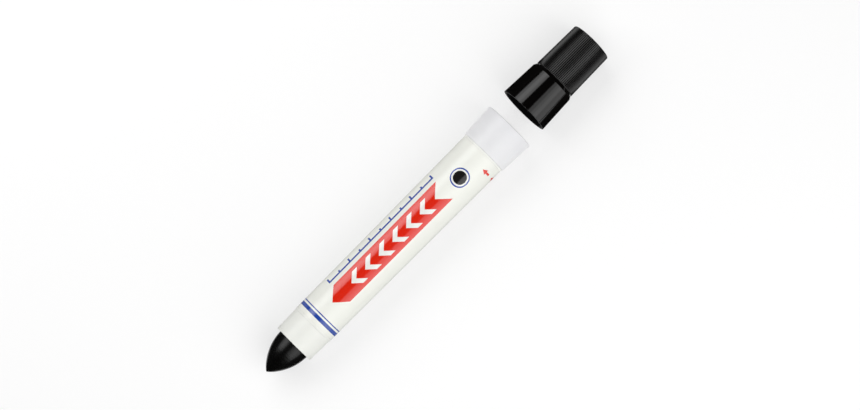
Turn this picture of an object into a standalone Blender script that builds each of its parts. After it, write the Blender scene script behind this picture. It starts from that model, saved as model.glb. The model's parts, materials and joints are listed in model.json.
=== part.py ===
"""Twist-up wax paste marker, lying on a table with its cap off in line behind it.

Turning the rear knob turns a screw inside the barrel. A keyed carrier rides on that screw
and pushes the paste stick out of the mouth.

Every piece of the marker is modelled upright, along +Z from the barrel's mouth (z = 0) to the
knob's end. The cap is modelled upright from its open rim (z = 0) to its crown. Two empties then
lay them down along +X, tip towards -X. Units are metres.
"""
import math

import bmesh
import bpy
from mathutils import Matrix

MM = 0.001

# Paste stick: a bullet tip in front of the mouth, a plain stick behind it
PASTE_RADIUS = 6.5 * MM
TIP_LENGTH = 13.7 * MM
TIP_FULLNESS = 1.66
TIP_RINGS = 8
PASTE_END = 57.7 * MM
SCREW_HOLE_RADIUS = 3.0 * MM
SCREW_HOLE_END = 3.0 * MM

# Barrel: a cap seat at the front, a shoulder that stops the cap, then a slow taper to the rear
BARREL_END = 95.0 * MM
SEAT_RADIUS_FRONT = 8.05 * MM
SEAT_RADIUS_REAR = 8.2 * MM
SHOULDER_Z = 9.4 * MM
BODY_RADIUS_FRONT = 8.40 * MM
BODY_RADIUS_REAR = 8.92 * MM
MOUTH_RADIUS = 6.72 * MM
MOUTH_END = 8.5 * MM
BORE_RADIUS = 7.35 * MM
BARREL_EDGE = 0.15 * MM

# Label: a film wrapped into a shallow recess between two beads of the barrel
BEAD_LENGTH = 0.8 * MM
RECESS_DEPTH = 0.22 * MM
LABEL_DEPTH_OUTER = 0.02 * MM
LABEL_DEPTH_INNER = 0.14 * MM
LABEL_END_GAP = 0.1 * MM

# Rails in the bore keep the carrier from turning
RAIL_COUNT = 3
RAIL_WIDTH = 1.2 * MM
RAIL_RADIUS = 6.7 * MM
RAIL_START = 9.6 * MM
RAIL_END = 86.5 * MM
RAIL_SINK = 0.4 * MM
KEY_GAP = 0.3 * MM

# Feed screw: a coarse left-hand thread, so a clockwise turn of the knob pushes the paste out
THREAD_PITCH = 4.0 * MM
THREAD_TURNS = 16
THREAD_TOP = 83.5 * MM
SCREW_FRONT = 18.0 * MM
CORE_RADIUS = 1.75 * MM
CREST_RADIUS = 2.55 * MM
RIDGE_BASE = 1.9 * MM
RIDGE_CREST = 1.1 * MM
RIDGE_SINK = 0.5 * MM
THREAD_GAP = 0.25 * MM
THRUST_RADIUS = 4.2 * MM
THRUST_FRONT = 85.6 * MM
THRUST_REAR = 87.2 * MM
JOURNAL_RADIUS = 2.4 * MM
HEAD_START = 98.1 * MM
HEAD_END = 104.6 * MM
HEAD_RADIUS = 2.6 * MM
HEAD_GAP = 0.3 * MM

# Seal ring in a groove of the screw's journal
SEAL_Z = 91.5 * MM
SEAL_MAJOR = 2.03 * MM
SEAL_MINOR = 0.48 * MM
SEAL_GROOVE_RADIUS = 1.5 * MM
SEAL_GROOVE_WIDTH = 1.6 * MM

# Rear plug: closes the bore, carries the screw and holds the knob on by its flange
PLUG_FRONT = 87.5 * MM
PLUG_RADIUS = 7.1 * MM
PLUG_EDGE = 0.3 * MM
PLUG_HOLE_RADIUS = 2.6 * MM
NECK_FRONT = 95.2 * MM
NECK_RADIUS = 7.9 * MM
FLANGE_FRONT = 96.2 * MM
FLANGE_REAR = 97.4 * MM
FLANGE_RADIUS = 8.5 * MM

# Knob: a flared cup with a lip that snaps over the plug's flange, and a hub on the screw's head
KNOB_FRONT = 95.1 * MM
KNOB_END = 108.1 * MM
KNOB_RADIUS_FRONT = 9.22 * MM
KNOB_RADIUS_REAR = 9.95 * MM
KNOB_EDGE = 0.35 * MM
KNOB_FRONT_EDGE = 0.12 * MM
LIP_RADIUS = 8.25 * MM
LIP_END = 95.9 * MM
KNOB_BORE = 8.8 * MM
KNOB_FLOOR = 105.9 * MM
HUB_RADIUS = 4.3 * MM
HUB_FRONT = 98.0 * MM
SOCKET_END = 104.9 * MM

# Carrier: a keyed flange behind the paste, a barbed spigot inside it and a threaded sleeve
CARRIER_FRONT = 50.0 * MM
CARRIER_FLANGE_FRONT = 58.0 * MM
CARRIER_FLANGE_REAR = 61.5 * MM
CARRIER_END = 70.0 * MM
CARRIER_RADIUS = 7.1 * MM
SPIGOT_RADIUS = 4.6 * MM
BARB_RADIUS = 4.85 * MM
BARB_PITCH = 2.4 * MM
BARB_COUNT = 3
SPIGOT_BORE = 3.1 * MM
SPIGOT_GAP = 0.25 * MM

# Cap shell: a plain flared skirt, a sloped shoulder, then a fluted grip
CAP_MOUTH_FROM_BARREL = 115.6 * MM
CAP_SIDE_STEP = 0.45 * MM
CAP_LENGTH = 34.3 * MM
RIM_RADIUS = 9.58 * MM
RIM_BORE = 8.5 * MM
RIM_EDGE = 0.2 * MM
SKIRT_END = 14.0 * MM
SKIRT_END_RADIUS = 8.96 * MM
SKIRT_BORE_END = 13.0 * MM
SKIRT_BORE_END_RADIUS = 8.22 * MM
GRIP_START = 15.3 * MM
GRIP_RADIUS_FRONT = 8.4 * MM
GRIP_RADIUS_REAR = 8.06 * MM
GRIP_BORE_START = 14.4 * MM
GRIP_BORE = 6.9 * MM
CROWN_FILLET = 0.45 * MM
CROWN_WALL = 1.2 * MM
RIB_COUNT = 76
FLUTE_DEPTH = 0.3 * MM
FLUTE_CUTTER = 0.5 * MM
FLUTE_START = 15.6 * MM

# Cap liner: seals on the mouth's face and keeps the paste from drying out
LINER_FRONT = 9.8 * MM
LINER_RING_RADIUS = 7.95 * MM
LINER_RING_BORE = 6.75 * MM
LINER_RING_END = 14.0 * MM
LINER_RADIUS = 6.6 * MM
LINER_BORE = 5.9 * MM
LINER_NARROW_Z = 16.5 * MM
LINER_END = 32.2 * MM
LINER_WALL = 0.8 * MM
LINER_EDGE = 0.3 * MM

# Facets round each turned piece
OUTER_SIDES = 36
INNER_SIDES = 24
SCREW_SIDES = 16
CAP_SIDES = RIB_COUNT
FILLET_STEPS = 4
MERGE = 0.01 * MM
SHARP_ANGLE = math.radians(30)

for old in list(bpy.data.objects):
    bpy.data.objects.remove(old, do_unlink=True)


def new_collection(name):
    collection = bpy.data.collections.new(name)
    bpy.context.scene.collection.children.link(collection)
    return collection


parts = new_collection("wax_paste_marker")
cutters = new_collection("cutters")


def plastic(name, red, green, blue, roughness):
    """A moulded or cast finish in one linear colour."""
    material = bpy.data.materials.new(name)
    material.use_nodes = True
    shader = material.node_tree.nodes["Principled BSDF"]
    shader.inputs["Base Color"].default_value = (red, green, blue, 1.0)
    shader.inputs["Roughness"].default_value = roughness
    shader.inputs["Metallic"].default_value = 0.0
    return material


IVORY = plastic("ivory_polypropylene", 0.86, 0.87, 0.82, 0.35)
FILM = plastic("ivory_label_film", 0.88, 0.89, 0.84, 0.25)
MILKY = plastic("milky_polypropylene", 0.72, 0.72, 0.75, 0.4)
BLACK_GLOSS = plastic("black_polystyrene", 0.006, 0.006, 0.006, 0.15)
LINER_BLACK = plastic("black_polyethylene", 0.008, 0.008, 0.008, 0.5)
WAX_BLACK = plastic("black_wax_paste", 0.008, 0.008, 0.008, 0.45)
GREY = plastic("grey_acetal", 0.45, 0.45, 0.45, 0.4)
SEAL_BLACK = plastic("black_rubber", 0.015, 0.015, 0.015, 0.7)


def lie_slope(outline, pivot):
    """Drop in radius per length from the pivot point to the next point that meets the table."""
    pivot_radius, pivot_z = pivot
    slopes = [(pivot_radius - r) / abs(pivot_z - z) for r, z in outline if z != pivot_z]
    return min(slope for slope in slopes if slope > 0)


def body_radius(z):
    """The barrel's outer radius behind its shoulder, beads and label alike."""
    share = (z - SHOULDER_Z) / (BARREL_END - SHOULDER_Z)
    return BODY_RADIUS_FRONT + (BODY_RADIUS_REAR - BODY_RADIUS_FRONT) * share


def fillet(radius, z, size, start, end):
    """Points of a quarter round about (radius, z), from one angle to another in degrees."""
    angles = [math.radians(start + (end - start) * i / FILLET_STEPS) for i in range(FILLET_STEPS + 1)]
    return [(radius + size * math.cos(a), z + size * math.sin(a)) for a in angles]


barrel_outline = [
    (BODY_RADIUS_REAR - BARREL_EDGE, BARREL_END),
    (BODY_RADIUS_REAR, BARREL_END - BARREL_EDGE),
    (body_radius(BARREL_END - BEAD_LENGTH), BARREL_END - BEAD_LENGTH),
    (body_radius(BARREL_END - BEAD_LENGTH) - RECESS_DEPTH, BARREL_END - BEAD_LENGTH),
    (body_radius(SHOULDER_Z + BEAD_LENGTH) - RECESS_DEPTH, SHOULDER_Z + BEAD_LENGTH),
    (body_radius(SHOULDER_Z + BEAD_LENGTH), SHOULDER_Z + BEAD_LENGTH),
    (BODY_RADIUS_FRONT, SHOULDER_Z + BARREL_EDGE),
    (BODY_RADIUS_FRONT - BARREL_EDGE, SHOULDER_Z),
    (SEAT_RADIUS_REAR, SHOULDER_Z),
    (SEAT_RADIUS_FRONT, BARREL_EDGE),
    (SEAT_RADIUS_FRONT - BARREL_EDGE, 0.0),
    (MOUTH_RADIUS + BARREL_EDGE, 0.0),
    (MOUTH_RADIUS, BARREL_EDGE),
    (MOUTH_RADIUS, MOUTH_END),
    (BORE_RADIUS, MOUTH_END + (BORE_RADIUS - MOUTH_RADIUS)),
    (BORE_RADIUS, BARREL_END),
]

label_front = SHOULDER_Z + BEAD_LENGTH + LABEL_END_GAP
label_end = BARREL_END - BEAD_LENGTH - LABEL_END_GAP
label_outline = [
    (body_radius(label_end) - LABEL_DEPTH_OUTER, label_end),
    (body_radius(label_front) - LABEL_DEPTH_OUTER, label_front),
    (body_radius(label_front) - LABEL_DEPTH_INNER, label_front),
    (body_radius(label_end) - LABEL_DEPTH_INNER, label_end),
]

plug_outline = [
    (FLANGE_RADIUS, FLANGE_REAR),
    (FLANGE_RADIUS, FLANGE_FRONT),
    (NECK_RADIUS, FLANGE_FRONT),
    (NECK_RADIUS, NECK_FRONT),
    (PLUG_RADIUS, NECK_FRONT),
    (PLUG_RADIUS, PLUG_FRONT + PLUG_EDGE),
    (PLUG_RADIUS - PLUG_EDGE, PLUG_FRONT),
    (PLUG_HOLE_RADIUS, PLUG_FRONT),
    (PLUG_HOLE_RADIUS, FLANGE_REAR),
]

knob_outline = (
    [(0.0, KNOB_END)]
    + fillet(KNOB_RADIUS_REAR - KNOB_EDGE, KNOB_END - KNOB_EDGE, KNOB_EDGE, 90, 0)
    + [
        (KNOB_RADIUS_FRONT, KNOB_FRONT + KNOB_FRONT_EDGE),
        (KNOB_RADIUS_FRONT - KNOB_FRONT_EDGE, KNOB_FRONT),
        (LIP_RADIUS, KNOB_FRONT),
        (LIP_RADIUS, LIP_END),
        (KNOB_BORE, LIP_END),
        (KNOB_BORE, KNOB_FLOOR),
        (HUB_RADIUS, KNOB_FLOOR),
        (HUB_RADIUS, HUB_FRONT),
        (0.0, HUB_FRONT),
    ]
)

screw_outline = [
    (0.0, HEAD_START + HEAD_GAP),
    (JOURNAL_RADIUS, HEAD_START + HEAD_GAP),
    (JOURNAL_RADIUS, SEAL_Z + SEAL_GROOVE_WIDTH / 2),
    (SEAL_GROOVE_RADIUS, SEAL_Z + SEAL_GROOVE_WIDTH / 2),
    (SEAL_GROOVE_RADIUS, SEAL_Z - SEAL_GROOVE_WIDTH / 2),
    (JOURNAL_RADIUS, SEAL_Z - SEAL_GROOVE_WIDTH / 2),
    (JOURNAL_RADIUS, THRUST_REAR),
    (THRUST_RADIUS, THRUST_REAR),
    (THRUST_RADIUS, THRUST_FRONT),
    (CORE_RADIUS, THRUST_FRONT),
    (CORE_RADIUS, SCREW_FRONT + RIDGE_SINK),
    (CORE_RADIUS - RIDGE_SINK, SCREW_FRONT),
    (0.0, SCREW_FRONT),
]

barbs = []
for index in reversed(range(BARB_COUNT)):
    barb_front = CARRIER_FRONT + index * BARB_PITCH
    barbs.append((SPIGOT_RADIUS, barb_front + BARB_PITCH))
    barbs.append((BARB_RADIUS, barb_front + BARB_PITCH))
    barbs.append((SPIGOT_RADIUS, barb_front))
carrier_outline = (
    [
        (SPIGOT_RADIUS, CARRIER_END),
        (SPIGOT_RADIUS, CARRIER_FLANGE_REAR),
        (CARRIER_RADIUS, CARRIER_FLANGE_REAR),
        (CARRIER_RADIUS, CARRIER_FLANGE_FRONT),
        (SPIGOT_RADIUS, CARRIER_FLANGE_FRONT),
    ]
    + barbs
    + [
        (SPIGOT_BORE, CARRIER_FRONT),
        (SPIGOT_BORE, CARRIER_FLANGE_FRONT),
        (CORE_RADIUS + THREAD_GAP, CARRIER_FLANGE_FRONT),
        (CORE_RADIUS + THREAD_GAP, CARRIER_END),
    ]
)

tip_angles = [math.pi / 2 * (1 - ring / TIP_RINGS) for ring in range(TIP_RINGS + 1)]
tip_outline = [(PASTE_RADIUS * math.sin(a) ** TIP_FULLNESS, -TIP_LENGTH * math.cos(a)) for a in tip_angles]
paste_outline = [
    (0.0, SCREW_HOLE_END),
    (SCREW_HOLE_RADIUS, SCREW_HOLE_END),
    (SCREW_HOLE_RADIUS, CARRIER_FRONT - SPIGOT_GAP),
    (BARB_RADIUS + SPIGOT_GAP, CARRIER_FRONT - SPIGOT_GAP),
    (BARB_RADIUS + SPIGOT_GAP, PASTE_END),
    (PASTE_RADIUS, PASTE_END),
] + tip_outline[:-1] + [(0.0, -TIP_LENGTH)]

crown = fillet(GRIP_RADIUS_REAR - CROWN_FILLET, CAP_LENGTH - CROWN_FILLET, CROWN_FILLET, 90, 0)
shoulder = [(GRIP_RADIUS_FRONT, GRIP_START), (SKIRT_END_RADIUS, SKIRT_END)]
cap_outer = crown + shoulder + [(RIM_RADIUS, RIM_EDGE), (RIM_RADIUS - RIM_EDGE, 0.0)]
cap_outline = [(0.0, CAP_LENGTH)] + cap_outer + [
    (RIM_BORE + RIM_EDGE, 0.0),
    (RIM_BORE, RIM_EDGE),
    (SKIRT_BORE_END_RADIUS, SKIRT_BORE_END),
    (GRIP_BORE, GRIP_BORE_START),
    (GRIP_BORE, CAP_LENGTH - CROWN_WALL),
    (0.0, CAP_LENGTH - CROWN_WALL),
]

liner_outline = [
    (0.0, LINER_END),
    (LINER_RADIUS - LINER_WALL, LINER_END),
    (LINER_RADIUS, LINER_END - LINER_WALL),
    (LINER_RADIUS, LINER_RING_END),
    (LINER_RING_RADIUS - LINER_EDGE, SKIRT_BORE_END),
    (LINER_RING_RADIUS, LINER_FRONT + LINER_EDGE),
    (LINER_RING_RADIUS - LINER_EDGE, LINER_FRONT),
    (LINER_RING_BORE, LINER_FRONT),
    (LINER_RING_BORE, SKIRT_BORE_END),
    (LINER_BORE, LINER_NARROW_Z),
    (LINER_BORE, LINER_END - LINER_WALL),
    (0.0, LINER_END - LINER_WALL),
]

# The marker lies on its shoulder and the knob's rear rim, the cap on its rim and its crown's edge
marker_flat = math.cos(math.pi / OUTER_SIDES)
cap_flat = math.cos(math.pi / CAP_SIDES)
knob_rim = (KNOB_RADIUS_REAR, KNOB_END - KNOB_EDGE)
cap_rim = (RIM_RADIUS, RIM_EDGE)
marker_slope = math.atan(lie_slope(barrel_outline, knob_rim) * marker_flat)
cap_slope = math.atan(lie_slope(cap_outer, cap_rim) * cap_flat)
marker_height = knob_rim[0] * marker_flat * math.cos(marker_slope) - knob_rim[1] * math.sin(marker_slope)
cap_height = cap_rim[0] * cap_flat * math.cos(cap_slope) + cap_rim[1] * math.sin(cap_slope)

# The mouth's place along X puts the middle of the whole length, tip to crown, at X = 0
tip_reach = TIP_LENGTH * math.cos(marker_slope)
cap_mouth_reach = CAP_MOUTH_FROM_BARREL * math.cos(marker_slope)
crown_reach = max(z * math.cos(cap_slope) + r * math.sin(cap_slope) for r, z in crown)
mouth_x = (tip_reach - cap_mouth_reach - crown_reach) / 2


def axis_empty(name, location, slope):
    """An empty whose +Z lies along +X, rising by the slope."""
    empty = bpy.data.objects.new(name, None)
    empty.location = location
    empty.rotation_euler = (0.0, math.pi / 2 - slope, 0.0)
    parts.objects.link(empty)
    return empty


marker_axis = axis_empty("marker_axis", (mouth_x, 0.0, marker_height), marker_slope)
cap_axis = axis_empty("cap_axis", (mouth_x + cap_mouth_reach, CAP_SIDE_STEP, cap_height), -cap_slope)


def place(name, mesh, collection, parent, material=None):
    obj = bpy.data.objects.new(name, mesh)
    collection.objects.link(obj)
    obj.parent = parent
    if material:
        mesh.materials.append(material)
    return obj


def turned(name, outline, sides, collection, parent, material=None):
    """A full turn of an outline of (radius, z) points, with a flat of its polygon underneath."""
    half_side = math.pi / sides
    points = [(r * math.cos(half_side), r * math.sin(half_side), z) for r, z in outline]
    edges = [(i, i + 1) for i in range(len(points) - 1)]
    if outline[0][0] > 0:
        edges.append((len(points) - 1, 0))
    mesh = bpy.data.meshes.new(name)
    mesh.from_pydata(points, edges, [])
    obj = place(name, mesh, collection, parent, material)
    turn = obj.modifiers.new("turn", "SCREW")
    turn.axis = "Z"
    turn.steps = sides
    turn.render_steps = sides
    turn.use_merge_vertices = True
    turn.merge_threshold = MERGE
    return obj


def from_bmesh(name, bm, parent):
    """A cutter, or a piece that a Boolean joins on, from a finished bmesh."""
    mesh = bpy.data.meshes.new(name)
    bm.to_mesh(mesh)
    bm.free()
    return hide(place(name, mesh, cutters, parent))


def hide(obj):
    obj.hide_render = True
    obj.display_type = "WIRE"
    return obj


def cut(obj, tool, operation):
    boolean = obj.modifiers.new(tool.name, "BOOLEAN")
    boolean.operation = operation
    boolean.object = tool


def baked_mesh(obj):
    """The object's mesh with its modifiers applied."""
    bpy.context.view_layer.update()
    evaluated = obj.evaluated_get(bpy.context.evaluated_depsgraph_get())
    return bpy.data.meshes.new_from_object(evaluated)


def smooth(obj):
    """Bake the modifiers and shade the round faces smooth, with sharp edges kept."""
    mesh = baked_mesh(obj)
    obj.modifiers.clear()
    obj.data = mesh
    mesh.name = obj.name
    mesh.shade_smooth()
    mesh.set_sharp_from_angle(angle=SHARP_ANGLE)


def rail_bars(name, inner_radius, width, start, end, parent):
    """Bars along the bore, spread evenly round it, from an inner radius into the wall."""
    bm = bmesh.new()
    outer_radius = BORE_RADIUS + RAIL_SINK
    for index in range(RAIL_COUNT):
        spin = Matrix.Rotation(2 * math.pi * index / RAIL_COUNT, 4, "Z")
        middle = Matrix.Translation(((inner_radius + outer_radius) / 2, 0.0, (start + end) / 2))
        size = Matrix.Diagonal((outer_radius - inner_radius, width, end - start, 1.0))
        bmesh.ops.create_cube(bm, size=1.0, matrix=spin @ middle @ size)
    return from_bmesh(name, bm, parent)


def hexagon(name, radius, start, end, parent):
    bm = bmesh.new()
    bmesh.ops.create_cone(
        bm, cap_ends=True, segments=6, radius1=radius, radius2=radius, depth=end - start,
        matrix=Matrix.Translation((0.0, 0.0, (start + end) / 2)),
    )
    return from_bmesh(name, bm, parent)


def thread_ridge(name, gap, top, turns, parent):
    """A left-hand thread ridge that winds down from a height, grown by a gap to cut its nut."""
    half_base = RIDGE_BASE / 2 + gap
    half_crest = RIDGE_CREST / 2 + gap
    profile = [
        (CORE_RADIUS - RIDGE_SINK, top + half_base),
        (CORE_RADIUS, top + half_base),
        (CREST_RADIUS + gap, top + half_crest),
        (CREST_RADIUS + gap, top - half_crest),
        (CORE_RADIUS, top - half_base),
        (CORE_RADIUS - RIDGE_SINK, top - half_base),
    ]
    ridge = turned(name + "_path", profile, SCREW_SIDES, cutters, parent)
    ridge.modifiers["turn"].screw_offset = -THREAD_PITCH
    ridge.modifiers["turn"].iterations = turns
    bm = bmesh.new()
    bm.from_mesh(baked_mesh(ridge))
    bpy.data.objects.remove(ridge, do_unlink=True)
    bmesh.ops.holes_fill(bm, edges=[edge for edge in bm.edges if edge.is_boundary], sides=0)
    bmesh.ops.recalc_face_normals(bm, faces=bm.faces)
    return from_bmesh(name, bm, parent)


def flute_prisms(name, parent):
    """Three-sided prisms, one between each two ribs, that follow the grip's taper past the crown."""
    bm = bmesh.new()
    run = CAP_LENGTH - GRIP_START
    lean = math.atan((GRIP_RADIUS_FRONT - GRIP_RADIUS_REAR) / run)
    length = CAP_LENGTH + FLUTE_CUTTER - FLUTE_START
    middle_z = FLUTE_START + length / 2
    share = (middle_z - GRIP_START) / run
    surface = GRIP_RADIUS_FRONT + (GRIP_RADIUS_REAR - GRIP_RADIUS_FRONT) * share
    middle = Matrix.Translation((surface - FLUTE_DEPTH + FLUTE_CUTTER, 0.0, middle_z))
    point_inward = Matrix.Rotation(-lean, 4, "Y") @ Matrix.Rotation(math.pi / 2, 4, "Z")
    for index in range(RIB_COUNT):
        spin = Matrix.Rotation(2 * math.pi * (index + 0.5) / RIB_COUNT, 4, "Z")
        bmesh.ops.create_cone(
            bm, cap_ends=True, segments=3, radius1=FLUTE_CUTTER, radius2=FLUTE_CUTTER, depth=length,
            matrix=spin @ middle @ point_inward,
        )
    return from_bmesh(name, bm, parent)


def make_barrel():
    barrel = turned("barrel", barrel_outline, OUTER_SIDES, parts, marker_axis, IVORY)
    cut(barrel, rail_bars("rails", RAIL_RADIUS, RAIL_WIDTH, RAIL_START, RAIL_END, marker_axis), "UNION")
    smooth(barrel)
    smooth(turned("barrel_label", label_outline, OUTER_SIDES, parts, marker_axis, FILM))
    smooth(turned("rear_plug", plug_outline, OUTER_SIDES, parts, marker_axis, IVORY))


def make_feed():
    screw = turned("feed_screw", screw_outline, SCREW_SIDES, parts, marker_axis, GREY)
    cut(screw, thread_ridge("screw_thread", 0.0, THREAD_TOP, THREAD_TURNS, marker_axis), "UNION")
    cut(screw, hexagon("screw_head", HEAD_RADIUS, HEAD_START, HEAD_END, marker_axis), "UNION")
    smooth(screw)

    bpy.ops.mesh.primitive_torus_add(
        major_radius=SEAL_MAJOR, minor_radius=SEAL_MINOR,
        major_segments=INNER_SIDES, minor_segments=FILLET_STEPS * 2,
    )
    ring = bpy.context.object
    ring.name = "screw_seal_ring"
    ring.location = (0.0, 0.0, SEAL_Z)
    ring.parent = marker_axis
    ring.data.materials.append(SEAL_BLACK)
    for collection in list(ring.users_collection):
        collection.objects.unlink(ring)
    parts.objects.link(ring)
    smooth(ring)

    carrier = turned("paste_carrier", carrier_outline, INNER_SIDES, parts, marker_axis, GREY)
    key_ways = rail_bars(
        "key_ways", RAIL_RADIUS - KEY_GAP, RAIL_WIDTH + 2 * KEY_GAP,
        CARRIER_FLANGE_FRONT - KEY_GAP, CARRIER_FLANGE_REAR + KEY_GAP, marker_axis,
    )
    cut(carrier, key_ways, "DIFFERENCE")
    turns_above = math.floor((THREAD_TOP - CARRIER_END) / THREAD_PITCH) - 1
    nut_turns = math.ceil((CARRIER_END - CARRIER_FLANGE_FRONT) / THREAD_PITCH) + 3
    nut_top = THREAD_TOP - turns_above * THREAD_PITCH
    cut(carrier, thread_ridge("nut_thread", THREAD_GAP, nut_top, nut_turns, marker_axis), "DIFFERENCE")
    smooth(carrier)
    smooth(turned("paste_stick", paste_outline, OUTER_SIDES, parts, marker_axis, WAX_BLACK))


def make_knob():
    knob = turned("twist_knob", knob_outline, OUTER_SIDES, parts, marker_axis, MILKY)
    socket = hexagon("hub_socket", HEAD_RADIUS + HEAD_GAP, HUB_FRONT - HEAD_GAP, SOCKET_END, marker_axis)
    cut(knob, socket, "DIFFERENCE")
    smooth(knob)


def make_cap():
    shell = turned("cap_shell", cap_outline, CAP_SIDES, parts, cap_axis, BLACK_GLOSS)
    cut(shell, flute_prisms("flutes", cap_axis), "DIFFERENCE")
    smooth(shell)
    smooth(turned("cap_liner", liner_outline, OUTER_SIDES, parts, cap_axis, LINER_BLACK))


make_barrel()
make_feed()
make_knob()
make_cap()
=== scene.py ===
# %% [markdown]
# # A twist-up wax paste marker, dressed for a product picture
# The marker is a plastic barrel with a printed film round it, a black wax stick in its mouth, a milky
# knob that winds the stick out, and a ribbed black cap that lies behind it. The engineering model is
# loaded first and never changed. Each step then adds one finer piece over it, or one better finish.

# %% Load the engineering model
import json
import math

import bmesh
import bpy
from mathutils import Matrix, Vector


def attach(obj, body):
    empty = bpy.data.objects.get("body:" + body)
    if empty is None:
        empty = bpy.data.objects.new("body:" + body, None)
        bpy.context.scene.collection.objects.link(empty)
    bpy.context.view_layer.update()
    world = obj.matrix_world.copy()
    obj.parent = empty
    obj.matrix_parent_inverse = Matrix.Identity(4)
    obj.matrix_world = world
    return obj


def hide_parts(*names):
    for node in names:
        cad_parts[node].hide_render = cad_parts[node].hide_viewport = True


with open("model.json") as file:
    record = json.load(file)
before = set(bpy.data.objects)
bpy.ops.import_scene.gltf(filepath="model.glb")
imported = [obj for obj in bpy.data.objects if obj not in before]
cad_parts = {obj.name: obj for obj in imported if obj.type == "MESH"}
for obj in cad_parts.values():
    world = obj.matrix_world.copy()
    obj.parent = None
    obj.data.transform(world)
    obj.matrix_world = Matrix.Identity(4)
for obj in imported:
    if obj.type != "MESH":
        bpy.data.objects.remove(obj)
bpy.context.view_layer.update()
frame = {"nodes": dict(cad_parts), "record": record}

# %% [markdown]
# ## Two axes
# Everything here is turned, so every point is easiest to give as a distance along an axis, a distance
# out from it, and a turn round it. The marker's axis starts at the barrel's mouth and the cap's at its
# open rim. Their places could be typed in, but they are worked out from the flat end faces in the
# record, so that a repacked model moves them.

# %% The marker's axis and the cap's axis
MM = 0.001
MARKER_LENGTH = 108.1
CAP_LENGTH = 34.3
SIDE = Vector((0.0, 1.0, 0.0))


def axis_line(face_name, length):
    """The start and direction of an axis that ends at a flat end face, a length in mm before it."""
    face = next(m for m in frame["record"]["mounts"] if m["name"] == face_name)
    direction = Vector(face["axis"]).normalized()
    return Vector(face["pos_m"]) - direction * length * MM, direction


def spot(line, along, out, turn=0.0):
    """A point along an axis and out from it in mm, turned in degrees from the top towards -Y."""
    start, direction = line
    top = direction.cross(SIDE)
    angle = math.radians(turn)
    return start + direction * along * MM + (top * math.cos(angle) - SIDE * math.sin(angle)) * out * MM


marker = axis_line("knob_end_face", MARKER_LENGTH)
cap = axis_line("cap_crown_face", CAP_LENGTH)
print("barrel mouth at", tuple(marker[0]), "cap rim at", tuple(cap[0]))

# %% [markdown]
# ## Camera
# The picture was taken from almost straight above with a long lens, and the marker runs from the lower
# left to the upper right. The marker could be turned to suit, but its pose belongs to the engineering
# model. So the camera hangs over the table and is turned about its own line of sight.

# %% Camera
IMAGE_WIDTH = 860
LENS_PIXELS = 3800
SENSOR_WIDTH = 36.0
SIGHT_END = 20.0
CAMERA_PLACE = (-0.0495339, 0.0016313, 1.3485635)
CAMERA_TURNS = (1.47491, -1.53758, -45.2437)
camera_data = bpy.data.cameras.new("table_camera")
camera_data.sensor_width = SENSOR_WIDTH
camera_data.lens = LENS_PIXELS * SENSOR_WIDTH / IMAGE_WIDTH
camera_data.clip_end = SIGHT_END
camera = bpy.data.objects.new("table_camera", camera_data)
bpy.context.scene.collection.objects.link(camera)
camera.location = CAMERA_PLACE
camera.rotation_euler = [math.radians(turn) for turn in CAMERA_TURNS]
bpy.context.scene.camera = camera
print("camera lens", round(camera_data.lens, 1), "mm")

# %% [markdown]
# ## One function for colours, one for nodes
# Shaders want linear colours, but a colour is easier to judge as it looks on a screen. So colours are
# written in hex and one function turns them. Nodes could be added line by line, but every one needs the
# same three things: its kind, its settings, and what is plugged into it. So one function adds them all.

# %% Colour and node helpers
def linear(hex_colour):
    """An sRGB hex colour as linear red, green, blue and alpha."""
    parts = [int(hex_colour[i:i + 2], 16) / 255 for i in (1, 3, 5)]
    return [p / 12.92 if p <= 0.04045 else ((p + 0.055) / 1.055) ** 2.4 for p in parts] + [1.0]


def add_node(tree, kind, settings=None, links=None):
    """A new node with its properties and input values set, and outputs of other nodes linked in."""
    node = tree.nodes.new(kind)
    for name, value in (settings or {}).items():
        if isinstance(name, int) or name in node.inputs:
            node.inputs[name].default_value = value
        else:
            setattr(node, name, value)
    for name, output in (links or {}).items():
        tree.links.new(output, node.inputs[name])
    return node


def new_finish(name):
    """A material and its Principled shader."""
    finish = bpy.data.materials.new(name)
    finish.use_nodes = True
    return finish, finish.node_tree.nodes["Principled BSDF"]


def matt_sheet(name, hex_colour):
    """A plain matt sheet of the set, which scatters light and has no shine at all."""
    finish, shader = new_finish(name)
    shader.inputs["Base Color"].default_value = linear(hex_colour)
    shader.inputs["Roughness"].default_value = 1.0
    shader.inputs["Specular IOR Level"].default_value = 0.0
    return finish, shader


print("middle grey is", [round(c, 3) for c in linear("#808080")])

# %% [markdown]
# ## Floor
# The floor is a pale paper sheet. It could be lit until it is white, but then the marker would be lit too
# strongly as well. So a part of its white is its own colour, and the rest is a glow that is seen only by
# the camera, in reflections and through clear things. The background is white and the soft shadow stays.

# %% Floor
FLOOR_SIZE = 12.0
FLOOR_GLOW = 0.56
# The turned pieces are rounder than the solids, so they reach up to this far under them, in mm
TURNED_SAG = 0.04
bpy.ops.object.select_all(action="DESELECT")
bpy.ops.mesh.primitive_plane_add(size=FLOOR_SIZE, location=(0.0, 0.0, -TURNED_SAG * MM))
floor = bpy.context.object
floor.name = "floor"

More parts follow.
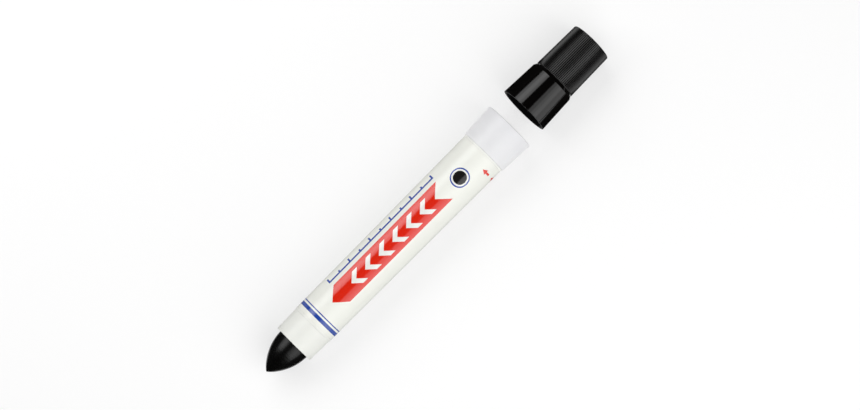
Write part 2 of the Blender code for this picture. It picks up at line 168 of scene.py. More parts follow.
# Uncoated paper scatters light evenly, so it takes a soft shadow and mirrors nothing
paper, shader = matt_sheet("matt_white_paper", "#B1B1B1")
shader.inputs["Emission Color"].default_value = linear("#FFFFFF")
tree = paper.node_tree
rays = add_node(tree, "ShaderNodeLightPath")
seen = rays.outputs["Is Camera Ray"]
for ray in ("Is Glossy Ray", "Is Transmission Ray"):
    either = add_node(tree, "ShaderNodeMath", {"operation": "MAXIMUM"}, {0: seen, 1: rays.outputs[ray]})
    seen = either.outputs[0]
glow = add_node(tree, "ShaderNodeMath", {"operation": "MULTIPLY", 1: FLOOR_GLOW}, {0: seen})
tree.links.new(glow.outputs[0], shader.inputs["Emission Strength"])
floor.data.materials.append(paper)
print("floor at", floor.location.z)

# %% [markdown]
# ## Soft boxes and fill cards
# Shiny black shows little but what it reflects, so the light is shaped for the cap. One wide lamp over
# the table would grey it all over. Instead two long soft boxes hang over the two sides and leave a dark
# gap straight above: the boxes give the cap its two grey bands, and the gap its black middle. A real box
# is brighter along its middle, where its tube is, so each is built of strips. Two low cards and one
# overhead fill the shade on the pale pieces and are kept out of reflections, as fill light often is.

# %% Soft boxes and fill cards
BOX_DISTANCE = 0.5
BOX_LENGTH = 0.72
BACK, FRONT = 1, -1
# A strip's two edges in degrees from straight up, and how bright it is
BACK_STRIPS = ((26, 37, 1.95), (37, 54, 2.7), (54, 67, 1.85))
FRONT_STRIPS = ((12, 27, 1.1), (27, 40, 1.7), (40, 57, 2.1), (57, 86, 1.5))
# The same for a fill card, after its name and its side
FILL_CARDS = (
    ("low_card_back", BACK, 68, 92, 0.78), ("low_card_front", FRONT, 68, 92, 0.55),
    ("top_card", BACK, -12, 12, 0.95),
)


def soft_box(name, side, near_edge, far_edge, radiance, mirrored=True):
    """A long rectangle of light beside the table, between two angles from straight up."""
    middle = math.radians((near_edge + far_edge) / 2)
    half = math.radians((far_edge - near_edge) / 2)
    light = bpy.data.lights.new(name, "AREA")
    light.shape = "RECTANGLE"
    light.size = BOX_LENGTH
    light.size_y = 2 * BOX_DISTANCE * math.tan(half)
    light.energy = radiance * math.pi * light.size * light.size_y
    lamp = bpy.data.objects.new(name, light)
    bpy.context.scene.collection.objects.link(lamp)
    lamp.location = (0.0, side * BOX_DISTANCE * math.sin(middle), BOX_DISTANCE * math.cos(middle))
    lamp.rotation_euler = (-side * middle, 0.0, 0.0)
    lamp.visible_camera = False
    lamp.visible_glossy = mirrored


for strip in BACK_STRIPS:
    soft_box("soft_box_back", BACK, *strip)
for strip in FRONT_STRIPS:
    soft_box("soft_box_front", FRONT, *strip)
for card in FILL_CARDS:
    soft_box(*card, mirrored=False)
world = bpy.data.worlds.new("dim_room")
bpy.context.scene.world = world
world.use_nodes = True
world.node_tree.nodes["Background"].inputs["Color"].default_value = linear("#212121")
bpy.context.scene.view_settings.view_transform = "Standard"
print("soft boxes of", len(BACK_STRIPS), "and", len(FRONT_STRIPS), "strips,", len(FILL_CARDS), "fill cards")

# %% [markdown]
# ## Flags
# A shiny thing on white paper loses its outline, because its sides mirror the paper. The paper could be
# darkened, but a photographer stands flags beside the thing: cards that are just out of the picture and
# draw a darker edge. They are black beside the black pieces and pale grey beside the barrel. Here they
# show only in reflections, so they cast no shadow and can stand close.

# %% Flags
# Matt card has no shine of its own, so a piece mirrors only its plain colour
flag_cards = {}
for colour, hex_colour in (("black", "#454545"), ("grey", "#E7E7E7")):
    flag_cards[colour], shader = matt_sheet("matt_" + colour + "_flag_card", hex_colour)
# A name, a card, the place along X and Y, the length and the height in mm, and a turn in degrees
for name, colour, x, y, length, height, turn in (
    ("flag_skirt_back", "black", 54, 12, 23, 17, 0),
    ("flag_skirt_front", "black", 54, -12, 23, 15, 0),
    ("flag_grip_back", "black", 79, 19, 27, 17, 0),
    ("flag_grip_front", "black", 79, -16, 27, 15, 0),
    ("flag_barrel_back", "grey", -20, 11.5, 92, 15, 0),
    ("flag_barrel_front", "grey", -20, -11.5, 92, 15, 0),
    ("flag_tip_back", "black", -101, 11.5, 68, 15, 0),
    ("flag_tip_front", "black", -101, -11.5, 68, 15, 0),
    ("flag_tip_end", "black", -87, 0, 30, 15, 90),
):
    bpy.ops.object.select_all(action="DESELECT")
    bpy.ops.mesh.primitive_plane_add(
        size=1.0, location=(x * MM, y * MM, height / 2 * MM),
        rotation=(math.pi / 2, 0.0, math.radians(turn)),
    )
    flag = bpy.context.object
    flag.scale = (length * MM, height * MM, 1.0)
    flag.name = name
    flag.data.materials.append(flag_cards[colour])
    for ray in ("camera", "diffuse", "transmission", "volume_scatter", "shadow"):
        setattr(flag, "visible_" + ray, False)
    print(name, "at", x, y, "mm")

# %% [markdown]
# ## Turning a piece
# A moulded round part is a drawn outline turned about an axis, as on a lathe. It could be put together
# from cylinders and cones, but then each joint between them would need its own repair. The outline
# starts as a small plane merged to one point, and that point is extruded from corner to corner. Corners
# that the mould rounds off are bevelled while the outline is still flat, because a bevel there is clean,
# and only then is it spun.

# %% Outline, spin and hand-over
WELD = 1e-6
SHARP_ANGLE = math.radians(32)
ROUND_STEPS = 5


def draw_outline(name, line, outline):
    """A new object in edit mode with a chain of (along, out, rounding) points in mm."""
    bpy.ops.object.select_all(action="DESELECT")
    bpy.ops.mesh.primitive_plane_add(size=MM)
    piece = bpy.context.object
    piece.name = name
    piece.data.name = name
    bpy.ops.object.mode_set(mode="EDIT")
    bpy.ops.mesh.merge(type="CENTER")
    places = [spot(line, point[0], point[1]) for point in outline]
    bpy.ops.transform.translate(value=places[0])
    for before, after in zip(places, places[1:]):
        bpy.ops.mesh.extrude_vertices_move(TRANSFORM_OT_translate={"value": after - before})
    for point, place in zip(outline, places):
        if len(point) > 2:
            bpy.ops.mesh.select_all(action="DESELECT")
            shape = bmesh.from_edit_mesh(piece.data)
            min(shape.verts, key=lambda v: (v.co - place).length).select_set(True)
            bmesh.update_edit_mesh(piece.data)
            bpy.ops.mesh.bevel(offset=point[2] * MM, segments=ROUND_STEPS, affect="VERTICES")
    return piece


def spin(line, steps, angle=2 * math.pi, copies=False):
    """Turn what is drawn about an axis, weld the seam and point the faces outwards."""
    bpy.ops.mesh.select_all(action="SELECT")
    bpy.ops.mesh.spin(steps=steps, angle=angle, center=line[0], axis=line[1], dupli=copies)
    bpy.ops.mesh.select_all(action="SELECT")
    bpy.ops.mesh.remove_doubles(threshold=WELD)
    bpy.ops.mesh.normals_make_consistent(inside=False)


def hand_over(piece, finish, body, slot, *nodes, sharp=SHARP_ANGLE):
    """Leave edit mode, shade the piece, give it its finish, hang it on its body and hide the engineering
    parts it stands in for.
    """
    bpy.ops.object.mode_set(mode="OBJECT")
    bpy.ops.object.shade_smooth_by_angle(angle=sharp)
    piece.data.materials.append(finish)
    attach(piece, body)
    if nodes:
        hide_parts(*nodes)
    print(piece.name, "has", len(piece.data.polygons), "faces")


def combine(piece, tool, operation):
    """Join a second shape, still in edit mode, to a piece or cut it away, and shade the piece again."""
    bpy.ops.object.mode_set(mode="OBJECT")
    bpy.ops.object.select_all(action="DESELECT")
    bpy.context.view_layer.objects.active = piece
    piece.select_set(True)
    change = piece.modifiers.new("change", "BOOLEAN")
    change.operation = operation
    change.object = tool
    bpy.ops.object.modifier_apply(modifier=change.name)
    bpy.data.objects.remove(tool, do_unlink=True)
    bpy.ops.object.shade_smooth_by_angle(angle=SHARP_ANGLE)
    print(piece.name, "now has", len(piece.data.polygons), "faces")


print("edges over", round(math.degrees(SHARP_ANGLE)), "degrees stay sharp")

# %% [markdown]
# ## Moulded finishes
# No moulded plastic, ink or wax is one flat colour: its tint, its gloss and its height all wander a
# little. A picture could be laid over each piece for that, but it would blur close up and show a seam.
# Noise in the piece's own space has neither fault, and its grain can be given in real millimetres. One
# function makes every finish this way, and what differs from one to the next is in its values.
#
# The first is the barrel's. It is injection-moulded ivory polypropylene, polished to a satin.

# %% A moulded finish, and ivory polypropylene
def moulded_finish(
    name, dark, light, grain, roughness, ior=None, detail=3.0, bump=None, stretch=None, cloud=None,
):
    """A finish between two colours and two roughnesses. The grain, the height of its bump and the width
    of the clouds of colour, where they are wider than the grain, are in mm."""
    finish, shader = new_finish(name)
    tree = finish.node_tree
    where = add_node(tree, "ShaderNodeTexCoord").outputs["Object"]
    if stretch:
        where = add_node(tree, "ShaderNodeMapping", {"Scale": stretch}, {"Vector": where}).outputs[0]
    fine = add_node(
        tree, "ShaderNodeTexNoise", {"Scale": 1 / (grain * MM), "Detail": detail}, {"Vector": where},
    )
    wide = fine
    if cloud:
        wide = add_node(
            tree, "ShaderNodeTexNoise", {"Scale": 1 / (cloud * MM), "Detail": 3.0}, {"Vector": where},
        )
    tint = add_node(
        tree, "ShaderNodeMix", {"data_type": "RGBA", 6: linear(dark), 7: linear(light)},
        {0: wide.outputs["Fac"]},
    )
    gloss = add_node(
        tree, "ShaderNodeMapRange", {"To Min": roughness[0], "To Max": roughness[1]},
        {"Value": fine.outputs["Fac"]},
    )
    tree.links.new(tint.outputs[2], shader.inputs["Base Color"])
    tree.links.new(gloss.outputs[0], shader.inputs["Roughness"])
    if bump:
        skin = add_node(tree, "ShaderNodeBump", {"Distance": bump * MM}, {"Height": fine.outputs["Fac"]})
        tree.links.new(skin.outputs[0], shader.inputs["Normal"])
    if ior:
        shader.inputs["IOR"].default_value = ior
    return finish, shader


# The skin is never quite flat, so the highlight is soft and a little broken, and the ivory is not even
ivory, shader = moulded_finish(
    "satin_moulded_ivory_polypropylene", "#F0F1EB", "#F4F5EF", grain=0.6, roughness=(0.3, 0.42),
    ior=1.49, detail=2.0, bump=0.004, cloud=9.0,
)
print(ivory.name)

# %% [markdown]
# ## Barrel
# The barrel has a narrow seat for the cap, a small shoulder that stops it, and a long slow taper with a
# shallow recess for the film. It could be a plain tube with the film on top, but the film would then
# stand proud and lose its fine edge line. So the recess is drawn into the outline that is spun.

# %% Barrel
BARREL_SIDES = 144
BARREL_END = 95.0
SHOULDER, SHOULDER_RADIUS, TAPER = 9.4, 8.40, 0.52
SEAT_FRONT_RADIUS, SEAT_REAR_RADIUS = 8.05, 8.2
MOUTH_RADIUS, MOUTH_END, BORE = 6.72, 8.5, 7.35
RECESS, RECESS_MARGIN = 0.22, 0.8
# A tube's outline starts and ends on a straight wall, where no corner is wanted
WALL_START = 50.0


def body_radius(along):
    """The barrel's radius behind its shoulder, where it widens slowly to the rear."""
    return SHOULDER_RADIUS + TAPER * (along - SHOULDER) / (BARREL_END - SHOULDER)


recess_front, recess_rear = SHOULDER + RECESS_MARGIN, BARREL_END - RECESS_MARGIN
barrel = draw_outline("barrel_tube", marker, [
    (WALL_START, BORE),
    (BARREL_END, BORE, 0.2),
    (BARREL_END, body_radius(BARREL_END), 0.04),
    (recess_rear, body_radius(recess_rear), 0.06),
    (recess_rear, body_radius(recess_rear) - RECESS),
    (recess_front, body_radius(recess_front) - RECESS),
    (recess_front, body_radius(recess_front), 0.06),
    (SHOULDER, body_radius(SHOULDER), 0.15),
    (SHOULDER, SEAT_REAR_RADIUS, 0.04),
    (0.0, SEAT_FRONT_RADIUS, 0.2),
    (0.0, MOUTH_RADIUS, 0.15),
    (MOUTH_END, MOUTH_RADIUS),
    (MOUTH_END + BORE - MOUTH_RADIUS, BORE),
    (WALL_START, BORE),
])
spin(marker, BARREL_SIDES)
hand_over(barrel, ivory, "barrel", "barrel_plastic", "barrel")

# %% [markdown]
# ## Rails in the bore
# Three rails inside the barrel keep the stick's carrier from turning. They could be pushed out of the
# bore's faces, but a rail is not a whole number of faces wide. So one bar is shaped from a cube, copied
# round the axis by a spin, and all three are joined to the tube.

# %% Rails
RAIL_FRONT, RAIL_REAR, RAIL_TOP, RAIL_FOOT = 9.6, 86.5, 6.7, 7.75
RAIL_WIDTH, RAIL_COUNT, RAIL_TURN = 1.2, 3, 180.0
bpy.ops.object.select_all(action="DESELECT")
bpy.ops.mesh.primitive_cube_add(size=MM)
rails = bpy.context.object
bpy.ops.object.mode_set(mode="EDIT")
shape = bmesh.from_edit_mesh(rails.data)
for corner in shape.verts:
    along = RAIL_REAR if corner.co.x > 0 else RAIL_FRONT
    out = RAIL_FOOT if corner.co.z > 0 else RAIL_TOP
    swing = math.degrees(RAIL_WIDTH / 2 / out) * (-1 if corner.co.y > 0 else 1)
    corner.co = spot(marker, along, out, RAIL_TURN + swing)
bmesh.update_edit_mesh(rails.data)
bpy.ops.mesh.normals_make_consistent(inside=False)
spin(marker, RAIL_COUNT, copies=True)
combine(barrel, rails, "UNION")

# %% [markdown]
# ## Film and inks
# A thin plastic film is wrapped round the barrel and carries the print. Film and inks could share one
# finish with a pattern in it, but a pattern of sharp shapes looks ragged on a curved face. So each ink
# gets a finish of its own, and later a thin layer of its own over the film.

# %% Printed film and inks
# A stretched film is glossier than the moulded barrel, and lies in slow waves a few millimetres wide
film, shader = moulded_finish(
    "semi_gloss_ivory_label_film", "#F2F3EB", "#F6F7F0", grain=5.0, roughness=(0.15, 0.22),
    ior=1.49, detail=2.0, bump=0.02,
)
# Ink under varnish has a full, glossy colour that is a little thinner in places. The real mottle is
# under 0.1 mm wide; it is drawn at 0.5 mm so that it shows
inks = {}
for colour, deep, thin in (
    ("red", "#DC200A", "#E42A12"), ("blue", "#20419B", "#294DAB"),
    ("white", "#F0F1EC", "#F5F5F1"), ("black", "#141312", "#1D1B1A"),
):
    inks[colour], shader = moulded_finish(
        "semi_gloss_" + colour + "_printing_ink", deep, thin, grain=0.5, roughness=(0.1, 0.17),
        ior=1.68, detail=4.0,
    )
print(film.name, sorted(inks))

# %% [markdown]
# ## Film
# The film is about a tenth of a millimetre thick and lies in the barrel's recess, a hair lower. It
# could be painted on the barrel as a second colour, but then its edges would not catch the light. So it
# is a thin turned piece of its own.

# %% Film
# The film's ends, and how far its two faces lie under the barrel's surface
FILM_FRONT, FILM_REAR, FILM_TOP, FILM_BACK = 10.23, 94.17, 0.02, 0.14
label = draw_outline("label_film", marker, [
    (WALL_START, body_radius(WALL_START) - FILM_BACK),
    (FILM_REAR, body_radius(FILM_REAR) - FILM_BACK),
    (FILM_REAR, body_radius(FILM_REAR) - FILM_TOP, 0.03),
    (FILM_FRONT, body_radius(FILM_FRONT) - FILM_TOP, 0.03),
    (FILM_FRONT, body_radius(FILM_FRONT) - FILM_BACK),
    (WALL_START, body_radius(WALL_START) - FILM_BACK),
])
spin(marker, BARREL_SIDES)
hand_over(label, film, "barrel", "label_film", "barrel_label")

# %% [markdown]
# ## Print
# The print is plain and general: a red bar with white chevrons that point to the tip, a blue gauge, a
# swatch of the wax's colour, two rings, and red arrows that show which way the knob turns. It could be
# cut into the film's faces, but a grid that follows each shape is finer and leaves the film whole. Each
# grid is bent round the barrel, column by column, and a Solidify modifier gives it its thickness.

# %% Laying a layer on the film
LAYER, LAYER_GAP, FIRST_GAP = 0.012, 0.006, 0.008
COLUMN_TURN = 2.0


def lay(name, level, finish, patches):
    """Thin patches on the film. Each is (first turn, last turn, front, rear): front and rear give the
    distance along the barrel at a turn measured from the patch's middle, in degrees."""
    bpy.ops.object.select_all(action="DESELECT")
    bpy.ops.mesh.primitive_plane_add(size=MM)
    piece = bpy.context.object
    piece.name = name
    piece.data.name = name
    bpy.ops.object.mode_set(mode="EDIT")
    bpy.ops.mesh.delete(type="VERT")
    lift = FIRST_GAP + level * (LAYER + LAYER_GAP) - FILM_TOP
    for first, last, front, rear in patches:
        columns = 2 * max(2, math.ceil((last - first) / COLUMN_TURN / 2))
        bpy.ops.mesh.select_all(action="DESELECT")
        bpy.ops.mesh.primitive_grid_add(x_subdivisions=columns, y_subdivisions=1, size=1.0)
        shape = bmesh.from_edit_mesh(piece.data)
        for corner in shape.verts:
            if corner.select:
                swing = (last - first) * corner.co.x
                along = rear(swing) if corner.co.y > 0 else front(swing)
                turn = (first + last) / 2 + swing
                corner.co = spot(marker, along, body_radius(along) + lift, turn)
        bmesh.update_edit_mesh(piece.data)
    bpy.ops.mesh.select_all(action="SELECT")
    bpy.ops.mesh.remove_doubles(threshold=WELD)
    bpy.ops.object.mode_set(mode="OBJECT")
    thick = piece.modifiers.new("thick", "SOLIDIFY")
    thick.thickness = LAYER * MM
    thick.offset = 1.0
    bpy.ops.object.modifier_apply(modifier=thick.name)
    hand_over(piece, finish, "barrel", "label_film")


print("an ink layer is", LAYER, "mm thick")

# %% Shapes of the print
ARROW, ARROW_HEAD, ARROW_TAIL, ARROW_SPREAD, ARROW_SHAFT = 90.3, 13.0, 25.0, 1.05, 0.42


def bar(front, rear):
    """The two ends of a patch, where they are straight."""
    return lambda swing: front, lambda swing: rear


def arrow_bar(front, rear, slant):
    """The two ends of a patch, where both point to the tip by a slant in mm per degree."""
    return lambda swing: front + abs(swing) * slant, lambda swing: rear + abs(swing) * slant


def both_sides(middle, half):
    """The two ends of a patch, where both lie half its width, which follows the turn, from its middle."""
    return lambda swing: middle - half(swing), lambda swing: middle + half(swing)


def disc(middle, radius, turn):
    """A round patch, from the turn where its circle starts to the turn where it ends."""
    reach = math.degrees(radius / body_radius(middle))
    out = math.radians(1.0) * body_radius(middle)
    ends = both_sides(middle, lambda swing: math.sqrt(max(0.0, radius ** 2 - (swing * out) ** 2)))
    return turn - reach, turn + reach, *ends


def turn_arrow(tip):
    """The head and the shaft of an arrow that points round the barrel."""
    neck = tip + ARROW_HEAD
    head = both_sides(ARROW, lambda swing: ARROW_SPREAD * (swing / (ARROW_HEAD / 2) + 1) / 2)
    shaft = bar(ARROW - ARROW_SHAFT, ARROW + ARROW_SHAFT)
    return [(tip, neck, *head), (neck, tip + ARROW_TAIL, *shaft)]


print("an arrow is", round(math.radians(ARROW_TAIL) * body_radius(ARROW), 1), "mm long")

# %% Red, blue, white and black ink
BAND_FRONT, BAND_REAR, BAND_TURN, BAND_HALF, SLANT = 20.0, 71.0, -4.0, 29.0, 0.16
CHEVRON_FRONT, CHEVRON_REAR, CHEVRON_STEP, CHEVRON_HALF, CHEVRON_COUNT = 29.5, 31.9, 6.8, 19, 6
RINGS = ((12.0, 13.4), (14.1, 14.5))
GAUGE_FRONT, GAUGE_REAR, GAUGE_TURN, GAUGE_WIDTH = 24.0, 76.0, -50, 5
TICK_WIDTH, TICK_STEP, LONG_TICK, SHORT_TICK, TICK_COUNT = 0.7, 5.13, 12, 6, 11
SWATCH, SWATCH_TURN, SWATCH_EDGE, SWATCH_WHITE, SWATCH_INK = 82.5, 2.0, 3.6, 3.1, 2.5
FIRST_ARROW, ARROW_STEP, ARROW_COUNT = 26.2, 40.4, 4

red = [(BAND_TURN - BAND_HALF, BAND_TURN + BAND_HALF, *arrow_bar(BAND_FRONT, BAND_REAR, SLANT))]
for i in range(ARROW_COUNT):
    red += turn_arrow(FIRST_ARROW + ARROW_STEP * i)

blue = [(-180, 180, *bar(*ring)) for ring in RINGS]
blue.append((GAUGE_TURN, GAUGE_TURN + GAUGE_WIDTH, *bar(GAUGE_FRONT, GAUGE_REAR)))
for i in range(TICK_COUNT):
    length = LONG_TICK if i % 2 == 0 else SHORT_TICK
    tick = bar(GAUGE_FRONT + TICK_STEP * i, GAUGE_FRONT + TICK_WIDTH + TICK_STEP * i)
    blue.append((GAUGE_TURN - length, GAUGE_TURN, *tick))
blue.append(disc(SWATCH, SWATCH_EDGE, SWATCH_TURN))

white = []
for i in range(CHEVRON_COUNT):
    chevron = arrow_bar(CHEVRON_FRONT + CHEVRON_STEP * i, CHEVRON_REAR + CHEVRON_STEP * i, SLANT)
    white.append((BAND_TURN - CHEVRON_HALF, BAND_TURN + CHEVRON_HALF, *chevron))
white.append(disc(SWATCH, SWATCH_WHITE, SWATCH_TURN))
black = [disc(SWATCH, SWATCH_INK, SWATCH_TURN)]

lay("print_red", 0, inks["red"], red)
lay("print_blue", 0, inks["blue"], blue)
lay("print_white", 1, inks["white"], white)
lay("print_black", 2, inks["black"], black)

# %% [markdown]
# ## Overlap of the film
# The film's end is glued over its start, which leaves a thin step along the barrel, low on its back.
# The film could be rolled up with a loose end, but a narrow strip of one more layer gives the same step.

# %% Overlap
OVERLAP_FIRST, OVERLAP_LAST = -130, -122
lay("label_overlap", 0, film, [(OVERLAP_FIRST, OVERLAP_LAST, *bar(FILM_FRONT, FILM_REAR))])

# %% [markdown]
# ## Wax stick
# The stick is cast black wax: a long round tip, a plain stick behind it, and a hole for the screw that
# pushes it out. The tip could be a stretched ball, but the real one is leaner than that, so its curve is
# a power of a sine, drawn point by point into the outline. Faint rings from the mould are added there
# too, because they show in the outline and not only in the shine.

# %% Black wax paste
# Wax is not as smooth as plastic, so its shine is soft and broken, in short marks that run round the stick
wax, shader = moulded_finish(
    "cast_black_wax_paste", "#020202", "#090807", grain=1.2, roughness=(0.19, 0.33),
    ior=1.39, detail=4.0, bump=0.03, stretch=(2.5, 0.8, 0.8),
)
print(wax.name)

# %% Wax stick
STICK_SIDES = 112
STICK_RADIUS, STICK_END = 6.5, 57.7
TIP_LENGTH, TIP_FULLNESS, TIP_STEPS = 13.7, 1.66, 64
RING_HEIGHT, RING_WIDTH, RING_REACH = 0.025, 0.95, 5.0
SCREW_HOLE_FRONT, SCREW_HOLE_RADIUS = 3.0, 3.0
SOCKET_FRONT, SOCKET_RADIUS = 49.75, 5.1


def tip_point(share):
    """A point of the tip's curve, from the mouth at 0 to the end at 1, with faint mould rings."""
    angle = math.pi / 2 * (1 - share)
    along = -TIP_LENGTH * math.cos(angle)
    ring = RING_HEIGHT * math.sin(2 * math.pi * along / RING_WIDTH) * max(0.0, 1 + along / RING_REACH)
    return along, STICK_RADIUS * math.sin(angle) ** TIP_FULLNESS + (ring if share > 0 else 0.0)


stick = draw_outline("wax_stick", marker, [
    (SCREW_HOLE_FRONT, 0.0),
    (SCREW_HOLE_FRONT, SCREW_HOLE_RADIUS),
    (SOCKET_FRONT, SCREW_HOLE_RADIUS),
    (SOCKET_FRONT, SOCKET_RADIUS),
    (STICK_END, SOCKET_RADIUS),
    (STICK_END, STICK_RADIUS, 0.2),
    *[tip_point(step / TIP_STEPS) for step in range(TIP_STEPS)],
    (-TIP_LENGTH, 0.0),
])
spin(marker, STICK_SIDES)
hand_over(stick, wax, "paste", "wax_paste", "paste_stick")

# %% [markdown]
# ## Twist knob
# The knob is a flared cup of milky polypropylene. It snaps over a flange behind the barrel, and a hub
# inside it holds the screw's six-sided head. It could be given the barrel's finish, but light goes a
# little way into this plastic, which makes it softer and slightly cooler. Subsurface scattering does
# that, while the wall stays a real wall.

# %% Milky polypropylene
# Slow flow marks, a soft satin shine, and light that spreads under the skin
milky, shader = moulded_finish(
    "moulded_milky_polypropylene", "#F5F5F8", "#F9F9FB", grain=3.0, roughness=(0.32, 0.42),
    ior=1.49, bump=0.01,
)
SPREAD_SHARE, SPREAD_DEPTH = 0.5, 1.5
shader.inputs["Subsurface Weight"].default_value = SPREAD_SHARE
shader.inputs["Subsurface Radius"].default_value = (1.0, 1.0, 1.0)
shader.inputs["Subsurface Scale"].default_value = SPREAD_DEPTH * MM
# Painted shade: the colour is darkened towards the cup's closed end, where less light comes through the
# milky plastic from inside
PAINTED_SHADE_LENGTH, PAINTED_SHADE_LEVEL = 13.0, 0.87
knob_end = spot(marker, MARKER_LENGTH, 0.0).x
tree = milky.node_tree
place = add_node(tree, "ShaderNodeTexCoord")
reach = add_node(tree, "ShaderNodeSeparateXYZ", links={"Vector": place.outputs["Object"]})
shade = add_node(
    tree, "ShaderNodeMapRange",
    {"From Min": knob_end - PAINTED_SHADE_LENGTH * MM, "From Max": knob_end, "To Min": 1.0, "To Max": PAINTED_SHADE_LEVEL},
    {"Value": reach.outputs["X"]},
)
tint = shader.inputs["Base Color"].links[0].from_socket
painted_shade_tint = add_node(
    tree, "ShaderNodeMix", {"data_type": "RGBA", "blend_type": "MULTIPLY", 0: 1.0},
    {6: tint, 7: shade.outputs[0]},
)
tree.links.new(painted_shade_tint.outputs[2], shader.inputs["Base Color"])
print(milky.name)

# %% Twist knob
KNOB_FRONT, KNOB_FRONT_RADIUS, KNOB_REAR_RADIUS = 95.03, 9.22, 9.95
LIP_RADIUS, LIP_END = 8.25, 95.9
CUP_RADIUS, CUP_FLOOR = 8.8, 105.9
HUB_RADIUS, HUB_FRONT = 4.3, 98.0
# The small dimple that the mould's gate leaves in the middle of the end face
GATE_DEPTH, GATE_FLOOR_RADIUS, GATE_RADIUS = 0.12, 0.9, 1.1
knob = draw_outline("knob_cup", marker, [
    (MARKER_LENGTH - GATE_DEPTH, 0.0),
    (MARKER_LENGTH - GATE_DEPTH, GATE_FLOOR_RADIUS, 0.1),
    (MARKER_LENGTH, GATE_RADIUS, 0.08),
    (MARKER_LENGTH, KNOB_REAR_RADIUS, 0.35),
    (KNOB_FRONT, KNOB_FRONT_RADIUS, 0.12),
    (KNOB_FRONT, LIP_RADIUS, 0.1),
    (LIP_END, LIP_RADIUS),
    (LIP_END, CUP_RADIUS),
    (CUP_FLOOR, CUP_RADIUS, 0.5),
    (CUP_FLOOR, HUB_RADIUS, 0.4),
    (HUB_FRONT, HUB_RADIUS, 0.2),
    (HUB_FRONT, 0.0),
])
spin(marker, BARREL_SIDES)
hand_over(knob, milky, "knob", "knob_plastic", "twist_knob")

# %% Six-sided socket in the knob's hub
HEAD_FRONT, HEAD_END, HEAD_RADIUS, HEAD_SIDES = 97.5, 104.9, 2.9, 6
socket = draw_outline("socket", marker, [
    (HEAD_FRONT, 0.0), (HEAD_FRONT, HEAD_RADIUS), (HEAD_END, HEAD_RADIUS), (HEAD_END, 0.0),
])
spin(marker, HEAD_SIDES)
combine(knob, socket, "DIFFERENCE")

# %% [markdown]
# ## Three finishes of black polystyrene
# The cap is one black plastic, but three parts of the mould leave it looking different. One finish for
# all of it would look like paint. So the polished skirt, the satin ribs and the dull inside each get
# their own, and the faces of the cap choose between them.

# %% Black polystyrene
# A polished mould gives a mirror-like black, with faint flow marks drawn out along the cap
black_gloss, shader = moulded_finish(
    "glossy_moulded_black_polystyrene", "#030202", "#060504", grain=1.6, roughness=(0.07, 0.16),
    ior=1.48, bump=0.006, stretch=(0.12, 1.0, 1.0),
)
# The mould's core is only roughly finished, so the inside of the cap hardly shines. Its real pits are
# under 0.05 mm wide; they are drawn at 0.3 mm so that they show
black_core, shader = moulded_finish(
    "dull_core_side_black_polystyrene", "#010101", "#030303", grain=0.3, roughness=(0.5, 0.65),
)
shader.inputs["Specular IOR Level"].default_value = 0.06
# The ribs are spark-eroded in the mould, so their crests and slopes are satin where the skirt shines.
# The real spark marks are under 0.05 mm wide; they are drawn at 0.4 mm so that they show
black_satin, shader = moulded_finish(
    "satin_ribbed_black_polystyrene", "#030202", "#060504", grain=0.4, roughness=(0.28, 0.32), ior=1.53,
)
print(black_gloss.name, black_core.name, black_satin.name)

# %% [markdown]
# ## Cap
# The cap has a plain flared skirt, a sloped shoulder and a grip of fine ribs. The ribs could be a bump
# in the finish, but they show in the cap's outline and end at its crown, so they are modelled. One rib
# and its slot are a thin slice of the cap: the outline is spun by one rib only, the slot is pushed in,
# and the slice is copied round the axis and welded.

# %% Cap outline, spun by one rib
RIB_COUNT = 76
RIB_TURN = 360 / RIB_COUNT
# One rib: a share of its turn, and a depth in mm. Half a crest, a slope, a slot, a slope, half a crest
RIB_SHAPE = (
    (0, 0), (0.05, 0), (0.2, 0.082), (0.36, 0.184),
    (0.5, 0.38), (0.64, 0.184), (0.8, 0.082), (0.95, 0), (1, 0),
)
RIB_STEPS = len(RIB_SHAPE) - 1
RIM_RADIUS, SKIRT_END, SKIRT_END_RADIUS = 9.58, 14.0, 8.96
RIM_BORE, SKIRT_BORE, SKIRT_BORE_END = 8.5, 8.22, 13.0
GRIP_START, GRIP_RADIUS, GRIP_BORE, GRIP_BORE_START = 15.5, 8.40, 6.9, 14.4
CROWN_RADIUS, CROWN_EDGE, CROWN_WALL = 8.045, 0.45, 1.2
# The ribs rise over RUN_IN behind a shallow neck, which lies NECK before them and is NECK_DEPTH deep
RUN_IN, NECK, NECK_DEPTH = 0.3, 0.2, 0.12
# Where the grip's outline has points, before its crown
GRIP_PLACES = (GRIP_START, GRIP_START + RUN_IN / 2, 20.0, 27.0)


def grip_radius(along):
    """The grip's radius over its ribs, where it narrows slowly to the crown."""
    share = (along - GRIP_START) / (CAP_LENGTH - GRIP_START)
    return GRIP_RADIUS + (CROWN_RADIUS - GRIP_RADIUS) * share


shell = draw_outline("cap_ribbed", cap, [
    (CAP_LENGTH - CROWN_WALL, 0.0),
    (CAP_LENGTH - CROWN_WALL, GRIP_BORE, 0.3),
    (GRIP_BORE_START, GRIP_BORE, 0.1),
    (SKIRT_BORE_END, SKIRT_BORE, 0.1),
    (0.0, RIM_BORE, 0.1),
    (0.0, RIM_RADIUS, 0.05),
    (SKIRT_END, SKIRT_END_RADIUS, 0.08),
    (GRIP_START - NECK, GRIP_RADIUS - NECK_DEPTH),
    *[(along, grip_radius(along)) for along in GRIP_PLACES],
    (CAP_LENGTH, CROWN_RADIUS, CROWN_EDGE),
    (CAP_LENGTH, 0.0),
])
spin(cap, RIB_STEPS, math.radians(RIB_TURN))
print("a rib is", round(math.radians(RIB_TURN) * GRIP_RADIUS, 2), "mm wide")

# %% The slot, and all the ribs
# Points of the grip that are further out than this, in mm, are on its outside and not in its bore
OUTSIDE = 7.0
NEARLY = 0.05
# The slopes of a rib meet at blunt angles, which still have to look crisp
RIB_SHARP_ANGLE = math.radians(20)


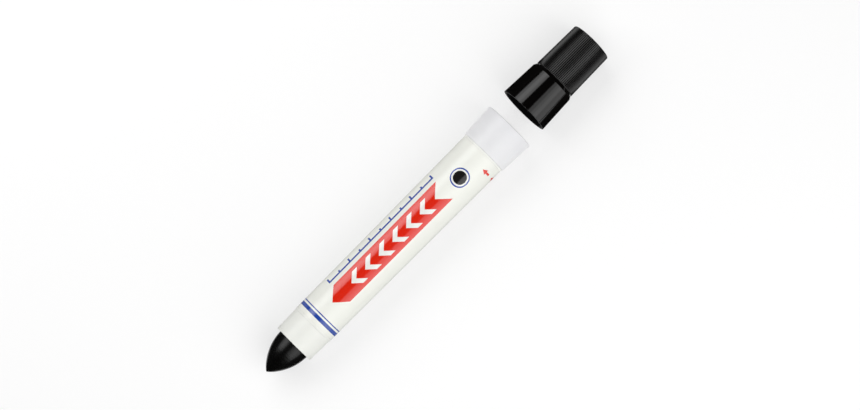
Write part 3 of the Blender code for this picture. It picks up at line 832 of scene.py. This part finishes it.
def around(line, place):
    """How far a place is along an axis, and the line from the axis out to it."""
    offset = place - line[0]
    along = offset.dot(line[1])
    return along, offset - line[1] * along


shape = bmesh.from_edit_mesh(shell.data)
for point in shape.verts:
    along, outward = around(cap, point.co)
    along, out = along / MM, outward.length / MM
    if along > GRIP_START - NEARLY and out > OUTSIDE:
        step = round(math.degrees(outward.angle(cap[1].cross(SIDE))) / RIB_TURN * RIB_STEPS)
        share, depth = RIB_SHAPE[step]
        rise = min(1.0, 0.5 + (along - GRIP_START) / RUN_IN)
        out = min(out, grip_radius(along) - depth * rise)
        point.co = spot(cap, along, out, -share * RIB_TURN)
bmesh.update_edit_mesh(shell.data)
spin(cap, RIB_COUNT, copies=True)
hand_over(shell, black_gloss, "cap", "cap_plastic", "cap_shell", sharp=RIB_SHARP_ANGLE)

# %% Which face gets which black
GLOSS, CORE, SATIN = 0, 1, 2
SLOT_DEPTH = 0.22
FACING_IN, FACING_RIM = -0.5, -0.7
shell.data.materials.append(black_core)
shell.data.materials.append(black_satin)
for face in shell.data.polygons:
    along, outward = around(cap, face.center)
    along, out = along / MM, outward.length / MM
    if GRIP_START - NECK < along < CAP_LENGTH - CROWN_EDGE and out > OUTSIDE:
        # The bottom of a slot is too narrow to polish, so it is as dull as the inside
        face.material_index = CORE if out < grip_radius(along) - SLOT_DEPTH else SATIN
    elif face.normal.dot(outward) < FACING_IN * outward.length or face.normal.dot(cap[1]) < FACING_RIM:
        face.material_index = CORE
for finish, number in ((black_gloss, GLOSS), (black_core, CORE), (black_satin, SATIN)):
    print(finish.name, "on", sum(face.material_index == number for face in shell.data.polygons), "faces")

# %% [markdown]
# ## Cap liner
# A softer cup of black polyethylene inside the cap seals on the barrel's mouth. Only its ring shows, deep
# in the cap. The engineering solid could stay there, but its edges are sharp and its sides are flat, so
# it is turned again with rounded edges.

# %% Black polyethylene
# A waxy plastic with a dull, slightly uneven skin, a little greyer than the cap round it
black_dull, shader = moulded_finish(
    "dull_moulded_black_polyethylene", "#0A0A0A", "#141413", grain=0.8, roughness=(0.45, 0.6), ior=1.51,
)
print(black_dull.name)

# %% Liner
LINER_SIDES = 112
RING_FRONT, RING_FRONT_RADIUS, RING_BORE = 9.8, 7.95, 6.75
RING_REAR, RING_REAR_RADIUS = 13.0, 7.65
TUBE_START, TUBE_RADIUS, TUBE_BORE_START, TUBE_BORE = 14.0, 6.6, 16.5, 5.9
LINER_FLOOR, LINER_END = 31.4, 32.2
liner = draw_outline("cap_seal", cap, [
    (LINER_END, 0.0),
    (LINER_END, TUBE_RADIUS, 0.7),
    (TUBE_START, TUBE_RADIUS, 0.15),
    (RING_REAR, RING_REAR_RADIUS, 0.2),
    (RING_FRONT, RING_FRONT_RADIUS, 0.3),
    (RING_FRONT, RING_BORE, 0.2),
    (RING_REAR, RING_BORE, 0.3),
    (TUBE_BORE_START, TUBE_BORE, 0.5),
    (LINER_FLOOR, TUBE_BORE, 1.5),
    (LINER_FLOOR, 0.0),
])
spin(cap, LINER_SIDES)
hand_over(liner, black_dull, "cap", "liner_plastic", "cap_liner")

# %% [markdown]
# ## Works inside the barrel
# The plug, the screw, its seal and the carrier could be turned again too, but they show only through
# gaps, so they keep their engineering shapes. They still get the finish of the real material.

# %% Finishes of the inner works
# Acetal is a hard, slippery grey plastic with an even half shine
grey_acetal, shader = moulded_finish(
    "moulded_grey_acetal", "#AFAFAF", "#BABABA", grain=1.0, roughness=(0.3, 0.4),
)
# Nitrile rubber is a soft black that hardly shines. Its real grain is under 0.1 mm wide; it is drawn at
# 0.4 mm so that it shows
seal_rubber, shader = moulded_finish(
    "moulded_black_nitrile_rubber", "#161616", "#222222", grain=0.4, roughness=(0.6, 0.8),
)
for node_name, finish in (
    ("rear_plug", ivory), ("feed_screw", grey_acetal), ("paste_carrier", grey_acetal),
    ("screw_seal_ring", seal_rubber),
):
    node = frame["nodes"][node_name]
    node.data.materials.clear()
    node.data.materials.append(finish)
    print(node_name, "is now", finish.name)
